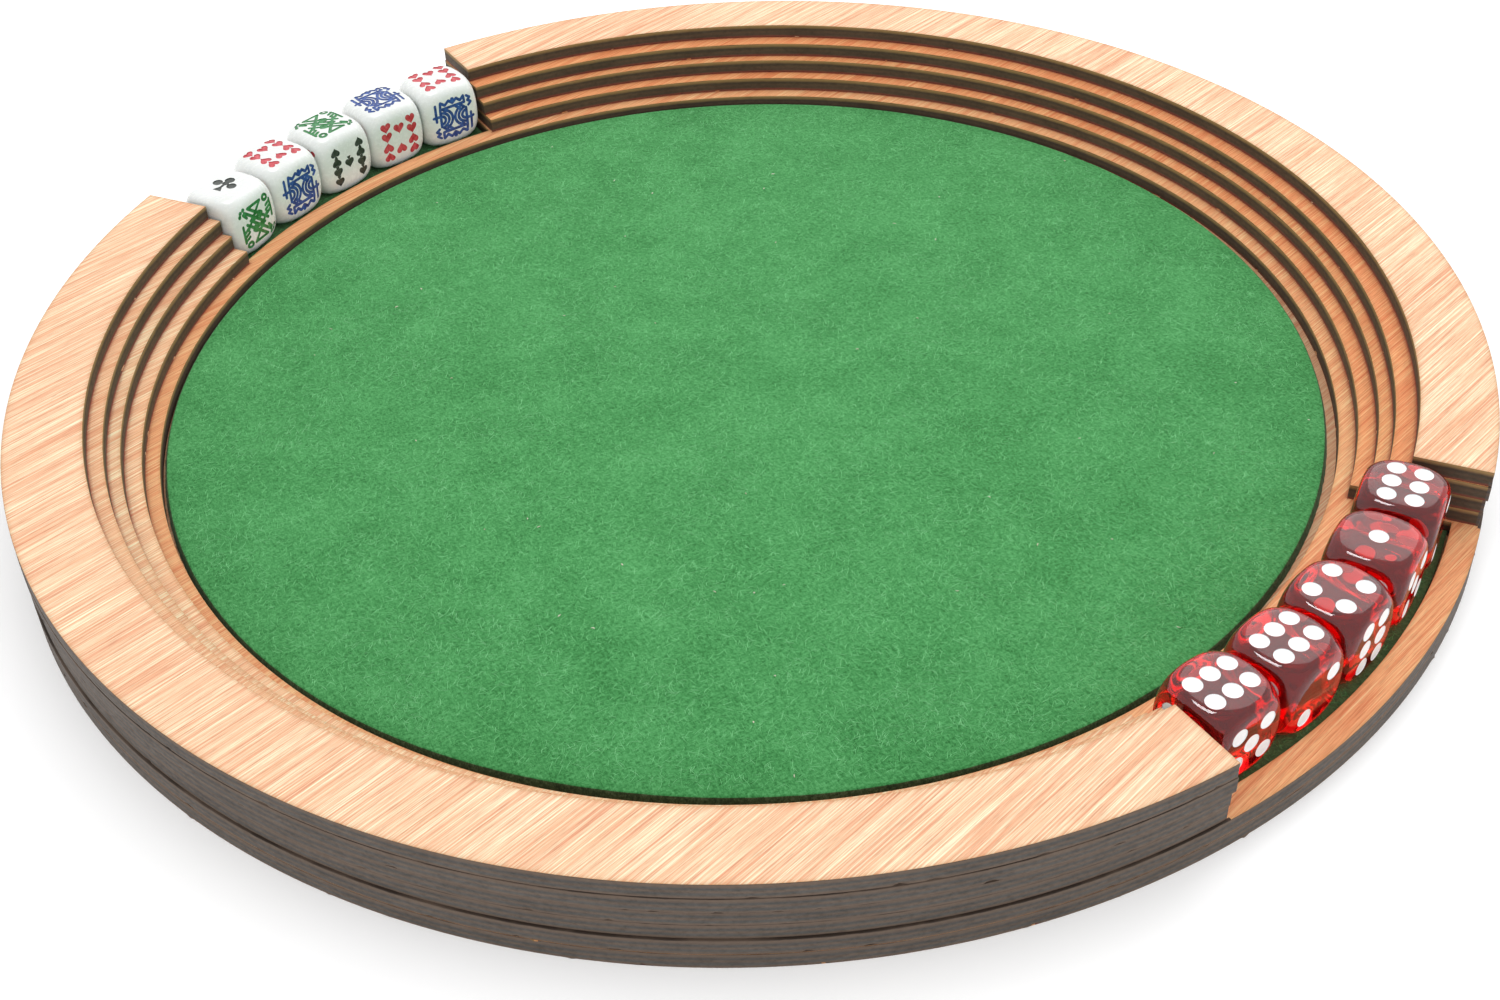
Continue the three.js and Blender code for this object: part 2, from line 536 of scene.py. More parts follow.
def dress_layer(mesh, node, edge_distance, foot_distance, finishes, is_ledge=None):
    """Adds the measures that the wood materials read, then the veneer and the two kinds of charred face.

    Flat strips for which is_ledge is true peep out between two layers, and are charred as well."""
    low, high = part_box(node)
    points = mesh_points(mesh)
    set_attribute(mesh, "ply", np.clip((points[:, 2] - low.z) / (high.z - low.z), 0, 1))
    set_attribute(mesh, "edge", np.clip(edge_distance(points) / MM, 0, EDGE_REACH))
    away = foot_distance(points) / MM if foot_distance else np.full(len(points), EDGE_REACH)
    on_top = points[:, 2] > high.z - 0.05 * MM
    set_attribute(mesh, "foot", np.where(on_top & (away > -0.5), np.clip(away, 0, EDGE_REACH), EDGE_REACH))
    piece = finish_mesh(node + "_plywood", mesh, finishes)
    normals = polygon_values(mesh, "normal")
    middles = polygon_values(mesh, "center")
    outwards = (normals[:, :2] * middles[:, :2]).sum(axis=1) > 0.5 * np.hypot(*middles[:, :2].T)
    finish = np.where(np.abs(normals[:, 2]) > 0.9, 0, np.where(outwards, 2, 1))
    if is_ledge:
        finish = np.where(is_ledge(middles), 2, finish)
    mesh.polygons.foreach_set("material_index", finish.astype(np.int32))
    mesh.update()
    stand_in(piece, node, "tray")


def wall_arc(side, tier, middle, foot_radius, finishes):
    """One of the stepped arcs that make up the tray's wall."""
    node = f"{side}_arc_{tier}"
    low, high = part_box(node)
    radii = ring_radii(node)
    inner, outer = radii[0], radii[-1]
    reach = half_span(node, middle)
    margins = [ring / inner for ring in EDGE_RINGS]
    angles = steps_between(middle - reach, middle + reach, ANGLE_STEP, margins)
    rings = steps_between(inner, outer, RADIUS_STEP, EDGE_RINGS)
    if foot_radius:
        tread = steps_between(inner, foot_radius, RADIUS_STEP, EDGE_RINGS[:3])
        rings = join_steps(tread, steps_between(foot_radius, outer, RADIUS_STEP, EDGE_RINGS))
    heights = steps_between(low.z, high.z, HEIGHT_STEP, [0.3 * MM])
    points, faces = polar_slab(angles, rings, heights, lambda angle, radius: True, False)
    mesh = bevelled(node + "_plywood", points, faces, CUT_BEVEL)
    chip_and_wear(mesh, low.z, high.z, (inner, outer), tier + (10 if side == "rear" else 0))

    def edge_distance(at):
        angle, radius = polar_of(at)
        along = (reach - np.abs(angle_from(angle, middle))) * radius
        return np.minimum(np.minimum(radius - inner, outer - radius), along)

    def is_ledge(at):
        covered = (at[:, 2] < low.z + MM) | (foot_radius is not None)
        return covered & (polar_of(at)[1] > outer - EDGE_RINGS[1])

    def foot_distance(at):
        return foot_radius - polar_of(at)[1]

    step_foot = foot_distance if foot_radius else None
    dress_layer(mesh, node, edge_distance, step_foot, finishes, is_ledge)


def pocket_ring(foot_radius, finishes):
    """The full ring with a window for each row of dice."""
    node = "pocket_ring"
    low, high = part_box(node)
    middle_of_well, inner = well()
    window_inner, window_outer, outer = ring_radii(node)[-3:]
    reach = half_span("red_pocket_liner", 0.0) + LINER_GAP / ((window_inner + window_outer) / 2)
    margins = [ring / window_inner for ring in EDGE_RINGS]
    runs = []
    for middle in (0.0, math.pi):
        runs.append(steps_between(middle - reach, middle + reach, ANGLE_STEP, margins))
        runs.append(steps_between(middle + reach, middle + math.pi - reach, ANGLE_STEP, margins))
    rings = join_steps(
        steps_between(inner, window_inner, RADIUS_STEP, EDGE_RINGS[:3]),
        steps_between(window_inner, window_outer, RADIUS_STEP, EDGE_RINGS[:3]),
        steps_between(window_outer, outer, RADIUS_STEP, EDGE_RINGS[:3]),
    )

    def in_window(angle, radius):
        return window_inner < radius < window_outer and from_slot(angle) < reach

    heights = steps_between(low.z, high.z, HEIGHT_STEP, [0.3 * MM])
    points, faces = polar_slab(join_steps(*runs), rings, heights, lambda a, r: not in_window(a, r), True)
    mesh = bevelled(node + "_plywood", points, faces, CUT_BEVEL)
    chip_and_wear(mesh, low.z, high.z, (inner, outer), 31)
    at = mesh_points(mesh)
    share = np.clip((window_inner - polar_of(at)[1]) / (window_inner - inner), 0, 1)
    at[:, :2] += share[:, None] * middle_of_well
    set_points(mesh, at)

    def edge_distance(at):
        angle, radius = polar_of(at)
        from_well = np.hypot(*(at[:, :2] - middle_of_well).T) - inner
        plain = np.minimum(from_well, outer - radius)
        beyond_end = np.maximum(from_slot(angle) - reach, 0) * radius
        beyond_side = np.maximum(np.maximum(window_inner - radius, radius - window_outer), 0)
        return np.minimum(plain, np.hypot(beyond_end, beyond_side))

    def is_ledge(at):
        angle, radius = polar_of(at)
        return (radius > outer - EDGE_RINGS[1]) & (from_slot(angle) > reach)

    def foot_distance(at):
        angle, radius = polar_of(at)
        return np.where(from_slot(angle) > reach, foot_radius - radius, EDGE_REACH * MM)

    dress_layer(mesh, node, edge_distance, foot_distance, finishes, is_ledge)


def base_board(finishes):
    """The disc that closes the bottom."""
    node = "base_board"
    low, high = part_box(node)
    outer = ring_radii(node)[-1]
    count = round(2 * math.pi / ANGLE_STEP)
    angles = [2 * math.pi * index / count for index in range(count + 1)]
    rings = [0.0, 12 * MM, *steps_between(30 * MM, outer, 6 * MM, EDGE_RINGS)]
    heights = steps_between(low.z, high.z, HEIGHT_STEP, [0.3 * MM])
    points, faces = polar_slab(angles, rings, heights, lambda angle, radius: True, True)
    mesh = bevelled(node + "_plywood", points, faces, CUT_BEVEL)
    chip_and_wear(mesh, low.z, high.z, (outer,), 47)
    dress_layer(mesh, node, lambda at: outer - polar_of(at)[1], None, finishes)


def build_wood():
    black = (0.020, 0.012, 0.008)
    bark = (0.115, 0.080, 0.058)
    slate = (0.066, 0.067, 0.064)
    outside = char_material("charred_outside", bark, slate, black, bark, bark)
    brown = (0.080, 0.053, 0.032)
    umber = (0.060, 0.045, 0.030)
    gold = (0.32, 0.20, 0.075)
    maroon = (0.20, 0.045, 0.03)
    inside = char_material("charred_inside", brown, umber, black, gold, maroon)
    # Painted light and shade: tiers 1 to 3 of the front arcs are made paler as painted light, those of the
    # rear arcs darker and more orange as painted shade; the rim (tier 4) keeps the plain tone.
    painted_step_light_and_shade = {
        "front": [(1.06, 1.00, 0.92), (1.04, 1.03, 0.96), (1.06, 0.97, 0.88)],
        "rear": [(0.98, 0.62, 0.40), (1.0, 0.66, 0.43), (0.96, 0.58, 0.37)],
    }
    for side, middle in (("front", -math.pi / 2), ("rear", math.pi / 2)):
        for tier in (1, 2, 3, 4):
            sheet = tier + (4 if side == "rear" else 0)
            tone = (1.0, 1.0, 1.0) if tier == 4 else painted_step_light_and_shade[side][tier - 1]
            veneer = veneer_material(f"veneer_{side}_{tier}", (sheet * 7.3, sheet * 3.1, sheet * 1.7), tone)
            foot = ring_radii(f"{side}_arc_{tier + 1}")[0] if tier < 4 else None
            wall_arc(side, tier, middle, foot, (veneer, inside, outside))
    # The pocket ring's veneer is made darker and more orange as painted shade on the lowest step.
    ring_veneer = veneer_material("veneer_pocket_ring", (3.3, 8.8, 1.1), (0.97, 0.72, 0.52))
    pocket_ring(ring_radii("front_arc_1")[0], (ring_veneer, inside, outside))
    # The base board's veneer is made darker and greyer as painted shade, for where it shows in the gap
    # under the mat.
    board_veneer = veneer_material("veneer_base_board", (13.7, 2.2, 5.0), (0.85, 0.72, 0.62))
    base_board((board_veneer, inside, outside))


# ==== the felt ====

def disc_grid(count):
    """A square grid pressed into a disc of radius 1, so that its cells stay about even."""
    line = np.linspace(-1, 1, count + 1)
    a, b = np.meshgrid(line, line, indexing="ij")
    wide = np.abs(a) > np.abs(b)
    with np.errstate(divide="ignore", invalid="ignore"):
        radius = np.where(wide, a, b)
        slope = np.where(wide, b / a, a / b)
    slope = np.nan_to_num(slope)
    angle = np.where(wide, math.pi / 4 * slope, math.pi / 2 - math.pi / 4 * slope)
    return radius * np.cos(angle), radius * np.sin(angle)


def felt_lift(points, seed):
    """The uneven height of pressed felt."""
    broad = noise_values(points, 60, seed)
    fine = noise_values(points, 420, seed + 1)
    return (broad * 0.05 + fine * 0.02) * MM


def rolling_mat(felt, singed_edge_and_gap_shade):
    """The round mat: an uneven top, a soft shoulder, and a slightly ragged singed edge; its dark skirt
    flares out at the foot over the gap, singed felt in part and painted shade of the gap in part.
    """
    node = "rolling_mat"
    low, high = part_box(node)
    centre = (low + high) / 2
    radius = (high.x - low.x) / 2
    x, y = disc_grid(MAT_CELLS)
    inner = radius - FELT_EDGE
    grid = np.stack([x.ravel() * inner, y.ravel() * inner, np.zeros(x.size)], axis=1)
    grid[:, 2] = felt_lift(grid, 1)
    points = [tuple(point) for point in grid]
    side = MAT_CELLS + 1
    faces = []
    for i in range(MAT_CELLS):
        for j in range(MAT_CELLS):
            corner = i * side + j
            faces.append((corner, corner + side, corner + side + 1, corner + 1))
    last = MAT_CELLS
    border = [i * side for i in range(last)] + [last * side + j for j in range(last)]
    border += [(last - i) * side + last for i in range(last)] + [last - j for j in range(last)]
    # the skirt flares out past the mat's edge at the foot and takes the singed colour, which also paints
    # the shade of the gap beneath
    profile = [(0.22, 0.04), (0.38, 0.14), (0.58, 0.32), (0.78, 0.8), (0.95, 1.4), (1.05, None)]
    depth = high.z - low.z
    ragged = noise_values([Vector(points[index]) for index in border], 900, 5) * 0.10 * MM
    ring = border
    for out, down in profile:
        start = len(points)
        fall = depth if down is None else down * MM
        for place, index in enumerate(border):
            spot = Vector(points[index][:2])
            reach = spot.length + out * MM + ragged[place] * out
            lift = points[index][2] * (1 - fall / depth)
            points.append((*(spot.normalized() * reach), lift - fall))
        new = list(range(start, start + len(border)))
        for place in range(len(border)):
            after = (place + 1) % len(border)
            faces.append((ring[place], new[place], new[after], ring[after]))
        ring = new
    faces.append(tuple(reversed(ring)))
    mesh = bpy.data.meshes.new("rolling_mat_felt")
    at = np.array(points)
    draw_in(at, radius)
    mesh.from_pydata((at + (centre.x, centre.y, high.z)).tolist(), [], faces)
    mesh.validate()
    piece = finish_mesh("rolling_mat_felt", mesh, (felt, singed_edge_and_gap_shade), 60)
    fix_normals(mesh)
    # below the shoulder the felt takes the singed colour: the singed edge in part, painted shade in the gap
    # in part
    shoulder = high.z - 0.2 * MM
    for polygon in mesh.polygons:
        out = math.hypot(polygon.center.x - centre.x, polygon.center.y - centre.y)
        polygon.material_index = int(out > inner - MAT_SHORT[2] and polygon.center.z < shoulder)
    stand_in(piece, node, "tray")
    return piece, centre, radius


def draw_in(points, radius):
    """Pulls in the stretch of the mat's edge that was cut a little short."""
    middle, width, depth = MAT_SHORT
    away = angle_from(polar_of(points)[0], middle) / width
    points[:, :2] *= (1 - depth / radius * np.exp(-away ** 2))[:, None]


def fix_normals(mesh):
    work = bmesh.new()
    work.from_mesh(mesh)
    bmesh.ops.recalc_face_normals(work, faces=work.faces)
    work.to_mesh(mesh)
    work.free()


def pocket_liner(node, middle, felt, singed_edge_and_gap_shade, seed):
    """The strip of felt under a row of dice."""
    low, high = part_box(node)
    radii = ring_radii(node)
    inner, outer = radii[0], radii[-1]
    reach = half_span(node, middle)
    angles = steps_between(middle - reach, middle + reach, 0.7 * MM / inner, [0.5 * MM / inner])
    rings = steps_between(inner, outer, 0.7 * MM, [0.5 * MM])
    heights = steps_between(low.z, high.z, 0.4 * MM, [])
    points, faces = polar_slab(angles, rings, heights, lambda angle, radius: True, False)
    mesh = bevelled(node + "_felt", points, faces, 0.3 * MM, 3)
    at = mesh_points(mesh)
    above = at[:, 2] > high.z - 0.35 * MM
    at[above, 2] += felt_lift(at[above], seed)
    set_points(mesh, at)
    piece = finish_mesh(node + "_felt", mesh, (felt, singed_edge_and_gap_shade), 60)
    for polygon in mesh.polygons:
        polygon.material_index = int(abs(polygon.normal.z) < 0.5)
    stand_in(piece, node, "tray")
    return piece, reach * (outer ** 2 - inner ** 2)


def fibres(name, spots, material, generator, length, thickness, arch):
    """Short bent fibres, each a closed three-sided sliver that tapers to a point at both ends."""
    count = len(spots)
    heading = generator.uniform(0, 2 * math.pi, count)
    span = generator.uniform(*length, count) * MM
    bend = generator.normal(0, 0.5, count)
    body = generator.uniform(*thickness, count) * MM
    rise = generator.uniform(*arch, count) * MM
    spine = []
    for share in (-0.5, -0.18, 0.18, 0.5):
        turn = heading + bend * share * 2
        height = rise * (1 - 3.2 * share * share)
        step = np.stack([np.cos(turn) * span * share, np.sin(turn) * span * share, height], axis=1)
        spine.append(spots + step)
    sideways = np.stack([-np.sin(heading), np.cos(heading), np.zeros(count)], axis=1)
    points = [spine[0]]
    for middle in spine[1:3]:
        for angle in (math.pi / 2, math.pi * 7 / 6, math.pi * 11 / 6):
            offset = sideways * (math.cos(angle) * body)[:, None]
            offset[:, 2] += math.sin(angle) * body * 0.4
            points.append(middle + offset)
    points.append(spine[3])
    block = np.stack(points, axis=1).reshape(-1, 3)
    pattern = []
    for side in range(3):
        after = (side + 1) % 3
        pattern.append((0, 1 + after, 1 + side))
        pattern.append((1 + side, 1 + after, 4 + after))
        pattern.append((1 + side, 4 + after, 4 + side))
        pattern.append((7, 4 + side, 4 + after))
    triangles = (np.arange(count)[:, None, None] * 8 + np.array(pattern)[None]).reshape(-1, 3)
    mesh = bpy.data.meshes.new(name)
    mesh.from_pydata(block.tolist(), [], triangles.tolist())
    piece = finish_mesh(name, mesh, (material,), 20)
    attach(piece, "tray")
    return piece


def scatter_in_disc(generator, count, centre, radius, height):
    angle = generator.uniform(0, 2 * math.pi, count)
    out = radius * np.sqrt(generator.uniform(0, 1, count))
    x = centre[0] + out * np.cos(angle)
    y = centre[1] + out * np.sin(angle)
    return np.stack([x, y, np.full(count, height)], axis=1)


def scatter_in_band(generator, count, middle, reach, inner, outer, height):
    angle = middle + generator.uniform(-reach, reach, count)
    out = np.sqrt(generator.uniform(inner ** 2, outer ** 2, count))
    return np.stack([out * np.cos(angle), out * np.sin(angle), np.full(count, height)], axis=1)


def build_felt():
    generator = np.random.default_rng(FIBRE_SEED)
    felt, pocket_felt_in_painted_shade, singed_edge_and_gap_shade = (
        felt_material(name, *tones)
        for name, *tones in (
            ("green_felt", (0.020, 0.135, 0.030), (0.048, 0.232, 0.066), (0.092, 0.335, 0.116)),
            # the green felt made darker and duller as painted shade for the deep pockets
            ("pocket_felt_in_painted_shade", (0.030, 0.080, 0.030), (0.050, 0.125, 0.046), (0.078, 0.180, 0.070)),
            # singed felt edge; its colour also paints the shade in the gap under the mat's edge
            ("singed_felt_and_painted_gap_shade", (0.020, 0.028, 0.010), (0.042, 0.058, 0.020), (0.085, 0.105, 0.048)),
        )
    )
    pale = fibre_material("pale_fibre", (0.125, 0.43, 0.155), (0.20, 0.54, 0.24))
    deep = fibre_material("deep_fibre", (0.075, 0.32, 0.100), (0.105, 0.385, 0.130))
    mat, centre, radius = rolling_mat(felt, singed_edge_and_gap_shade)
    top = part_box("rolling_mat")[1].z
    for index, material in enumerate((pale, deep, pale, deep)):
        spots = scatter_in_disc(generator, MAT_FIBRES, (0, 0), radius - 2.3 * MM, top - 0.02 * MM)
        draw_in(spots, radius)
        spots[:, :2] += centre[:2]
        name = f"mat_fibres_{index + 1}"
        fibres(name, spots, material, generator, (1.2, 3.6), (0.035, 0.065), (0.01, 0.06))
    lint = fibre_material("lint", (0.62, 0.55, 0.42), (0.85, 0.80, 0.70))
    spots = scatter_in_disc(generator, MAT_LINT, centre, radius - 3 * MM, top + 0.06 * MM)
    fibres("mat_lint", spots, lint, generator, (0.5, 1.1), (0.07, 0.15), (0.05, 0.15))
    for node, middle, seed in (("red_pocket_liner", 0.0, 21), ("poker_pocket_liner", math.pi, 33)):
        liner, area = pocket_liner(node, middle, pocket_felt_in_painted_shade, singed_edge_and_gap_shade, seed)
        radii = ring_radii(node)
        inner, outer = radii[0], radii[-1]
        reach = half_span(node, middle)
        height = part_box(node)[1].z - 0.02 * MM
        spots = scatter_in_band(
            generator, LINER_FIBRES, middle, reach - 0.006, inner + MM, outer - MM, height
        )
        tufts = fibres(node + "_fibres", spots, deep, generator, (1.0, 2.6), (0.022, 0.05), (0.02, 0.06))


# ==== marks on the dice, as outlines in millimetres on a face ====

def circle(x, y, radius, count=24):
    return [
        (x + radius * math.cos(2 * math.pi * i / count), y + radius * math.sin(2 * math.pi * i / count))
        for i in range(count)
    ]


def placed(outline, x, y, turn, size=1.0):
    cos, sin = math.cos(math.radians(turn)) * size, math.sin(math.radians(turn)) * size
    return [(x + px * cos - py * sin, y + px * sin + py * cos) for px, py in outline]


def heart(count=26):
    """A heart about 1 wide, point down."""
    outline = []
    for index in range(count):
        t = 2 * math.pi * index / count
        x = 16 * math.sin(t) ** 3
        y = 13 * math.cos(t) - 5 * math.cos(2 * t) - 2 * math.cos(3 * t) - math.cos(4 * t)
        outline.append((-x / 32, (y + 2.5) / 32))
    return outline


def stem(height, foot, waist):
    right = [(foot, -height), (waist, -height * 0.45), (waist, 0.0)]
    return [(-foot, -height), *right, (-waist, 0.0), (-waist, -height * 0.45)]


def spade():
    body = [(x, -y) for x, y in reversed(heart())]
    return [placed(body, 0, 0.08, 0, 1.0), placed(stem(0.62, 0.22, 0.06), 0, 0, 0)]


def club():
    lobes = [circle(0, 2.05, 1.2), circle(-2.0, 0.1, 1.2), circle(2.0, 0.1, 1.2), circle(0, 0.5, 0.85)]
    return lobes + [stem(2.9, 1.15, 0.35)]


def stroke(points, width):
    """A pen line as overlapping bars and round joints."""
    outlines = []
    for (x0, y0), (x1, y1) in zip(points, points[1:]):
        length = math.hypot(x1 - x0, y1 - y0)
        nx, ny = -(y1 - y0) / length * width / 2, (x1 - x0) / length * width / 2
        outlines.append([(x0 - nx, y0 - ny), (x1 - nx, y1 - ny), (x1 + nx, y1 + ny), (x0 + nx, y0 + ny)])
    outlines += [circle(x, y, width / 2, 8) for x, y in points]
    return outlines


def bow(x, y, radius, start, end, count=7):
    """Points along part of a circle, from one angle to another in degrees."""
    turns = [math.radians(start + (end - start) * i / count) for i in range(count + 1)]
    return [(x + radius * math.cos(turn), y + radius * math.sin(turn)) for turn in turns]


def emblem(kind):
    """A made-up heraldic device, the same either way up, drawn with one pen."""
    if kind == "king":
        lines = [
            [(-3.0, 5.2), (-1.9, 4.2), (-0.9, 5.2), (0.1, 4.2), (1.1, 5.2), (2.0, 4.2), (3.0, 5.2)],
            [(-3.0, 5.2), (-3.2, 3.3), (3.0, 3.3), (3.0, 5.2)],
            [(-3.2, 3.3), (-3.3, -1.6)],
            [(-4.4, 4.8), (-4.4, 0.2)],
            [(-5.1, 1.4), (-3.5, 1.4)],
            bow(-3.3, 0.2, 1.2, -80, 80, 6),
            bow(-3.3, 0.2, 2.1, -70, 75, 7),
            bow(-3.3, 0.2, 3.0, -60, 75, 8),
            [(0.5, 3.3), (2.1, 1.4)],
            [(1.6, 3.3), (2.9, 1.9)],
            [(3.8, 4.9), (4.7, 4.2), (3.9, 3.5), (4.8, 2.8), (4.0, 2.1)],
        ]
        dots = [(0.1, 5.3), (-2.0, 2.6)]
    elif kind == "queen":
        lines = [
            [(-2.3, 4.9), (3.3, -0.9)],
            [(-3.5, 4.4), (2.1, -1.4)],
            [(1.7, 4.9), (-3.2, -0.7)],
            [(-2.3, 4.9), (1.7, 4.9)],
            [(4.6, 3.6), (4.6, -1.0)],
            [(4.6, 3.2), (3.2, 2.5)],
            [(4.6, 2.1), (3.0, 1.3)],
            [(4.6, 1.0), (3.2, 0.2)],
            bow(3.4, 4.7, 0.75, 0, 330, 9),
            bow(0.0, 0.2, 1.2, 25, 155, 6),
            bow(0.0, 0.4, 2.0, 35, 145, 6),
            [(-3.9, 4.0), (-3.0, 2.7)],
        ]
        dots = [(-4.5, 4.9), (-3.6, 5.3), (-4.9, 4.0)]
    else:
        lines = [
            [(-2.7, 5.0), (-2.7, 3.2), (2.7, 3.2), (2.7, 5.0), (0.0, 4.1), (-2.7, 5.0)],
            [(-4.6, 4.2), (-4.6, -1.2)],
            [(-4.0, 0.5), (3.6, 1.7)],
            [(-4.0, -0.5), (3.6, 0.7)],
            [(-2.0, 3.0), (-2.0, 1.1)],
            [(-0.7, 3.0), (-0.7, 1.3)],
            [(0.6, 3.0), (0.6, 1.5)],
            [(1.9, 3.0), (1.9, 1.7)],
            bow(3.9, 3.9, 0.7, 30, 330, 8),
        ]
        dots = [(-3.7, 4.9), (-3.7, 3.4)]
    wide, tall = EMBLEM_STRETCH
    half = [circle(x * wide, y * tall, 0.55, 10) for x, y in dots]
    for line in lines:
        half += stroke([(x * wide, y * tall) for x, y in line], EMBLEM_PEN)
    return half + [[(-x, -y) for x, y in outline] for outline in half]


def pip_places(count):
    """Where the pips of a number stand on a face: three to a line up the face for a six."""
    far = 3.3
    row = 4.1
    apart = 2.5
    two = [(far, far), (-far, -far)]
    four = two + [(-far, far), (far, -far)]
    return {
        1: [(0, 0)],
        2: two,
        3: two + [(0, 0)],
        4: four,
        5: four + [(0, 0)],
        6: [(side * apart, level * row) for side in (-1, 1) for level in (-1, 0, 1)],
    }[count]


def pip_marks(count, turn=0):
    return [circle(*spot, PIP_RADIUS, 30) for spot in placed(pip_places(count), 0, 0, turn)]


def ten_hearts():
    places = [(x, y) for x in (-3.75, 3.75) for y in (3.9, 1.3, -1.3, -3.9)] + [(0, 2.6), (0, -2.6)]
    return [placed(heart(), x, y, 0 if y > 0 else 180, HEART_SIZE) for x, y in places]


def nine_spades():
    places = [(x, y) for x in (-3.75, 3.75) for y in (3.95, 1.32, -1.32, -3.95)] + [(0, 0)]
    return [
        placed(outline, x, y, 0 if y > 0 else 180, SPADE_SIZE) for x, y in places for outline in spade()
    ]


# ==== the dice ====

def counter_clockwise(outline):
    area = sum(x0 * y1 - x1 * y0 for (x0, y0), (x1, y1) in zip(outline, outline[1:] + outline[:1]))
    return outline if area > 0 else outline[::-1]


def face_patch(marks, half):
    """A square face, cut into triangles along its marks; says for each triangle if it is in a mark."""
    steps = [2 * index / DIE_GRID - 1 for index in range(DIE_GRID + 1)]
    line = [half * (0.6 * step + 0.4 * math.sin(step * math.pi / 2)) for step in steps]
    points = []
    faces = []
    for outline in marks:
        start = len(points)
        points += counter_clockwise(outline)
        faces.append(list(range(start, len(points))))
    drawn = np.array(points) if points else np.full((1, 2), 99.0)
    border = [(x, -half) for x in line[:-1]] + [(half, y) for y in line[:-1]]
    border += [(x, half) for x in line[:0:-1]] + [(-half, y) for y in line[:0:-1]]
    start = len(points)
    points += border
    edges = [(start + i, start + (i + 1) % len(border)) for i in range(len(border))]
    for x in line[1:-1]:
        for y in line[1:-1]:
            if np.hypot(drawn[:, 0] - x, drawn[:, 1] - y).min() > 0.14:
                points.append((x, y))
    cut = delaunay_2d_cdt([Vector(point) for point in points], edges, faces, 0, 1e-5)
    inside = [len(sources) > 0 for sources in cut[5]]
    return [tuple(vertex) for vertex in cut[0]], [tuple(triangle) for triangle in cut[2]], inside


def rounded(x, y, half, rounding):
    """The share by which a point of a cube's face is drawn in to the middle.

    A power mean rounds the cube's edges, and then a ball, with a fillet, rounds its corners."""
    power, ball, fillet = rounding
    size = (abs(x / half) ** power + abs(y / half) ** power + 1.0) ** (1 / power)
    reach = math.sqrt(x * x + y * y + half * half) / size
    blend = max(fillet - abs(reach - ball), 0.0) / fillet
    return (min(reach, ball) - blend * blend * fillet / 4) / (reach * size)


def die_axes(node):
    """A die's middle, half its width, and its own x axis, which points out from the tray."""
    low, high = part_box(node)
    centre = (low + high) / 2
    half = (high.z - low.z) / 2
    outwards = Vector((centre.x, centre.y, 0)).normalized()
    best = outwards
    closest = -1.0
    for polygon in tray_nodes[node].data.polygons:
        normal = polygon.normal
        depth = (polygon.center - centre).dot(normal)
        if abs(normal.z) < 0.01 and depth > half - 0.01 * MM and normal.dot(outwards) > closest:
            closest = normal.dot(outwards)
            best = normal.copy()
    return centre, half, Vector((best.x, best.y, 0)).normalized()


def build_die(row, index, slot, skin, rounding, face_marks):
    """One closed die: six cut faces joined at their borders, with every mark sunk and painted.

    face_marks holds, for top, bottom, out, in, left and right, the outlines and the paint's slot."""
    node = f"{row}_die_{index + 1}"
    body = f"{row}_die_{DIE_LETTERS[index]}"
    centre, half, x_axis = die_axes(node)
    z_axis = Vector((0, 0, 1))
    y_axis = z_axis.cross(x_axis)
    frames = {
        "top": (z_axis, x_axis), "bottom": (-z_axis, x_axis),
        "out": (x_axis, z_axis), "in": (-x_axis, z_axis),
        "left": (y_axis, z_axis), "right": (-y_axis, z_axis),
    }
    work = bmesh.new()
    for place, (normal, up) in frames.items():
        across = up.cross(normal)
        marks, paint = face_marks[place]
        flat, triangles, inside = face_patch(marks, half / MM)
        spots = []
        for x, y in flat:
            share = rounded(x * MM, y * MM, half, rounding)
            spots.append(((across * x + up * y) * MM + normal * half) * share)
        outer = {}
        sunk = {}

        def vertex(index, store, depth):
            if index not in store:
                store[index] = work.verts.new(centre + spots[index] - normal * depth)
            return store[index]

        border = {}
        for triangle, marked in zip(triangles, inside):
            store, depth = (sunk, MARK_DEPTH) if marked else (outer, 0.0)
            face = work.faces.new([vertex(index, store, depth) for index in triangle])
            face.material_index = paint if marked else 0
            if marked:
                for a, b in zip(triangle, triangle[1:] + triangle[:1]):
                    if (b, a) in border:
                        del border[(b, a)]
                    else:
                        border[(a, b)] = True
        for a, b in border:
            wall = work.faces.new([vertex(b, outer, 0.0), vertex(a, outer, 0.0), sunk[a], sunk[b]])
            wall.material_index = paint
    bmesh.ops.remove_doubles(work, verts=work.verts, dist=0.004 * MM)
    bmesh.ops.recalc_face_normals(work, faces=work.faces)
    mesh = bpy.data.meshes.new(node + "_" + slot)
    work.to_mesh(mesh)
    work.free()
    stand_in(finish_mesh(node + "_resin", mesh, skin, 38), node, body)


def build_red_dice():
    skin = (resin_material(), paint_material("white_paint", (0.86, 0.86, 0.86), (0.80, 0.80, 0.81), 0.4))
    tops_and_fronts = [(6, 5), (6, 2), (4, 6), (1, 5), (6, 2)]
    for index, (top, out) in enumerate(tops_and_fronts):
        left = next(n for n in (3, 2, 1) if n not in (top, out, 7 - top, 7 - out))
        marks = {
            "top": (pip_marks(top, 90), 1), "bottom": (pip_marks(7 - top, 90), 1),
            "out": (pip_marks(out), 1), "in": (pip_marks(7 - out), 1),
            "left": (pip_marks(left), 1), "right": (pip_marks(7 - left), 1),
        }
        build_die("red", index, "red_resin", skin, RED_ROUNDING, marks)


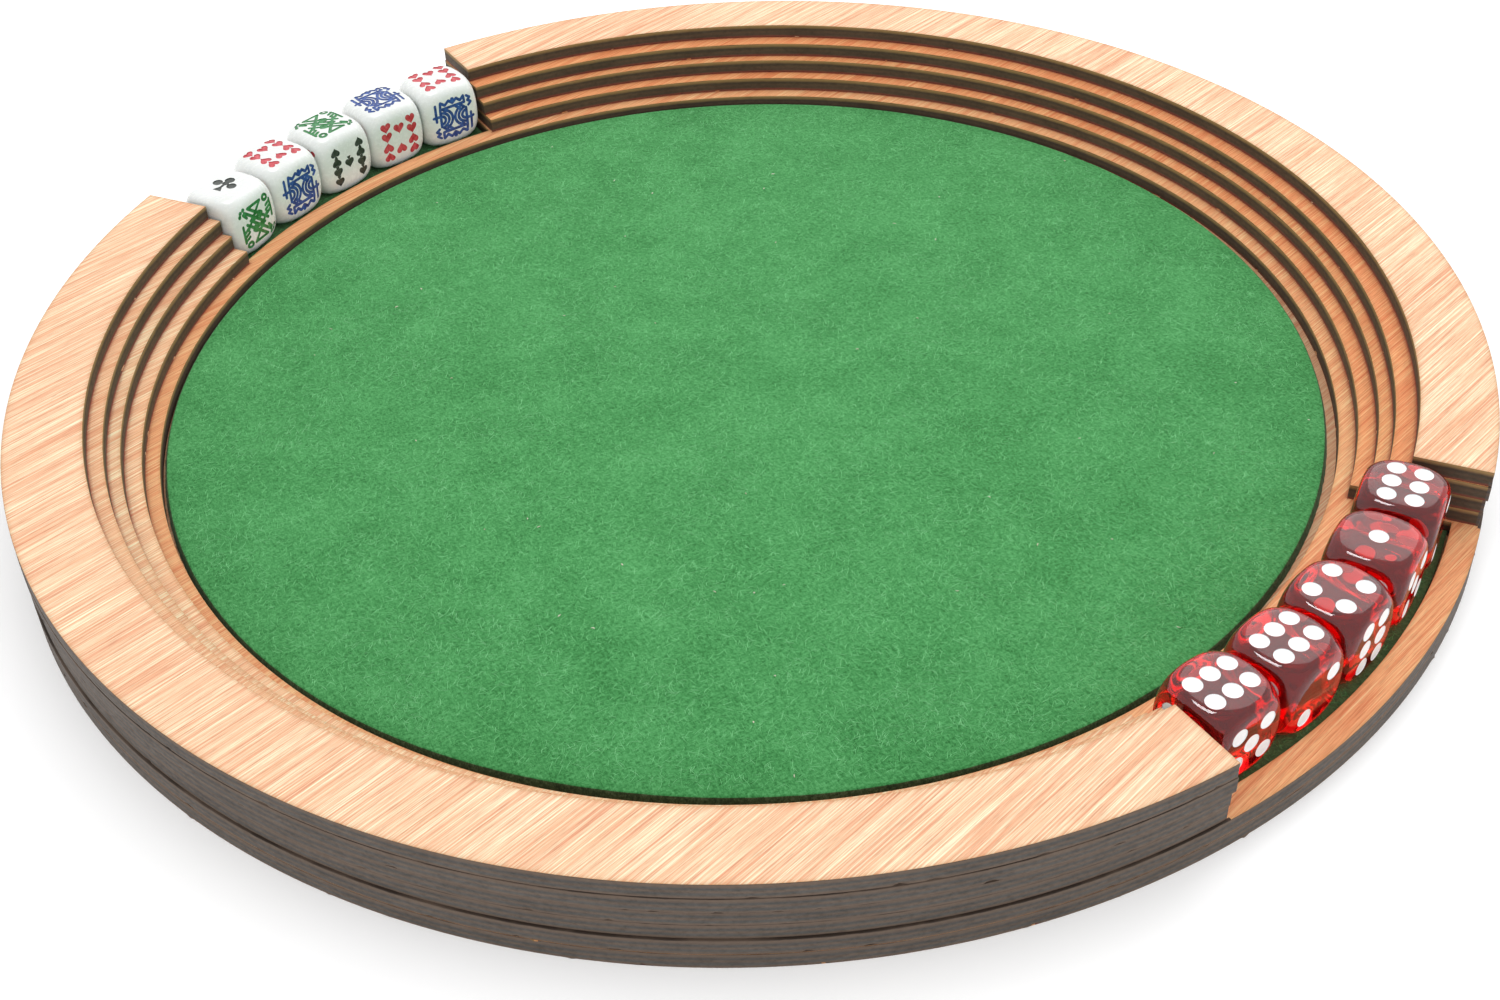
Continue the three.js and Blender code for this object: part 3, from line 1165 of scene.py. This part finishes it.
def build_poker_dice():
    skin = (
        ivory_material(),
        paint_material("black_paint", (0.012, 0.018, 0.014), (0.06, 0.07, 0.06)),
        paint_material("red_paint", (0.42, 0.012, 0.025), (0.62, 0.10, 0.12)),
        paint_material("blue_paint", (0.009, 0.032, 0.17), (0.035, 0.105, 0.37)),
        paint_material("green_paint", (0.008, 0.13, 0.025), (0.05, 0.28, 0.09)),
    )
    black, red, blue, green = 1, 2, 3, 4
    kinds = {
        "ace": (club(), black),
        "nine": (nine_spades(), black),
        "ten": (ten_hearts(), red),
        "jack": (emblem("jack"), red),
        "king": (emblem("king"), blue),
        "queen": (emblem("queen"), green),
    }
    pairs = (("ace", "nine"), ("ten", "jack"), ("king", "queen"))
    opposite = {one: other for pair in pairs for one, other in (pair, pair[::-1])}
    tops = ("ace", "ten", "queen", "king", "ten")
    inners = ("queen", "king", "nine", "ten", "king")
    for index, (top, inner) in enumerate(zip(tops, inners)):
        used = (top, inner, opposite[top], opposite[inner])
        left = next(kind for kind in ("ace", "ten", "king") if kind not in used)
        sides = {
            "top": top, "bottom": opposite[top], "in": inner, "out": opposite[inner],
            "left": left, "right": opposite[left],
        }
        marks = {side: kinds[kind] for side, kind in sides.items()}
        if top == "ace":
            marks["top"] = ([placed(outline, 0, 0, -90) for outline in club()], black)
            marks["left"] = ([], black)
        build_die("poker", index, "white_resin", skin, POKER_ROUNDING, marks)


# ==== floor, light and camera ====

def build_stage():
    graph = Graph("studio_floor")
    speckle = graph.noise(graph.place((12, 12, 12)), 2.0)
    colour_inputs(graph, graph.ramp(speckle, (0.3, (0.94, 0.94, 0.945)), (0.7, (0.95, 0.95, 0.95))), 0.7)
    graph.set("Specular IOR Level", 0.1)
    graph.set("Emission Color", (1.0, 1.0, 1.0, 1.0))
    graph.set("Emission Strength", 0.08)
    mesh = bpy.data.meshes.new("studio_floor")
    reach = 3.0
    corner_signs = ((-1, -1), (1, -1), (1, 1), (-1, 1))
    mesh.from_pydata([(x * reach, y * reach, 0) for x, y in corner_signs], [], [(0, 1, 2, 3)])
    mesh.materials.append(graph.material)
    add_object("studio_floor", mesh)


def area_light(name, azimuth, elevation, distance, size, power):
    """A softbox aimed at the tray; the angles are read as the camera's are."""
    light = bpy.data.lights.new(name, "AREA")
    light.shape = "RECTANGLE"
    light.size, light.size_y = size
    light.energy = power
    lamp = add_object(name, light)
    back = direction(azimuth, elevation)
    lamp.location = back * distance
    lamp.rotation_euler = back.to_track_quat("Z", "Y").to_euler()
    return lamp


def direction(azimuth, elevation):
    turn, rise = math.radians(azimuth), math.radians(elevation)
    return Vector((math.sin(turn) * math.cos(rise), -math.cos(turn) * math.cos(rise), math.sin(rise)))


def build_light():
    world = bpy.data.worlds.new("studio")
    world.use_nodes = True
    background = world.node_tree.nodes["Background"]
    background.inputs["Color"].default_value = (1.0, 1.0, 1.0, 1.0)
    background.inputs["Strength"].default_value = 1.24
    bpy.context.scene.world = world
    area_light("softbox_rear_right", CAMERA_AZIMUTH + 150, 40, 1.3, (0.9, 0.9), 4.7)
    glint = area_light("softbox_overhead", 270, 80, 1.2, (0.40, 0.40), 8.0)
    glint.visible_diffuse = False    # it only puts highlights on the dice's edges
    bpy.context.scene.view_settings.view_transform = "Standard"


def build_camera():
    data = bpy.data.cameras.new("camera")
    data.lens = CAMERA_LENS
    data.sensor_width = 36.0
    data.clip_start = 0.01
    camera = add_object("camera", data)
    turn = Matrix.Rotation(math.radians(CAMERA_AZIMUTH), 3, "Z")
    aim = turn @ Vector((*CAMERA_AIM_SHIFT, 0))
    camera.location = direction(CAMERA_AZIMUTH, CAMERA_ELEVATION) * CAMERA_DISTANCE
    look = (aim - camera.location).to_track_quat("-Z", "Y").to_matrix()
    camera.rotation_euler = (look @ Matrix.Rotation(math.radians(CAMERA_ROLL), 3, "Z")).to_euler()
    bpy.context.scene.camera = camera


build_camera()
build_light()
build_stage()
build_wood()
build_felt()
build_red_dice()
build_poker_dice()
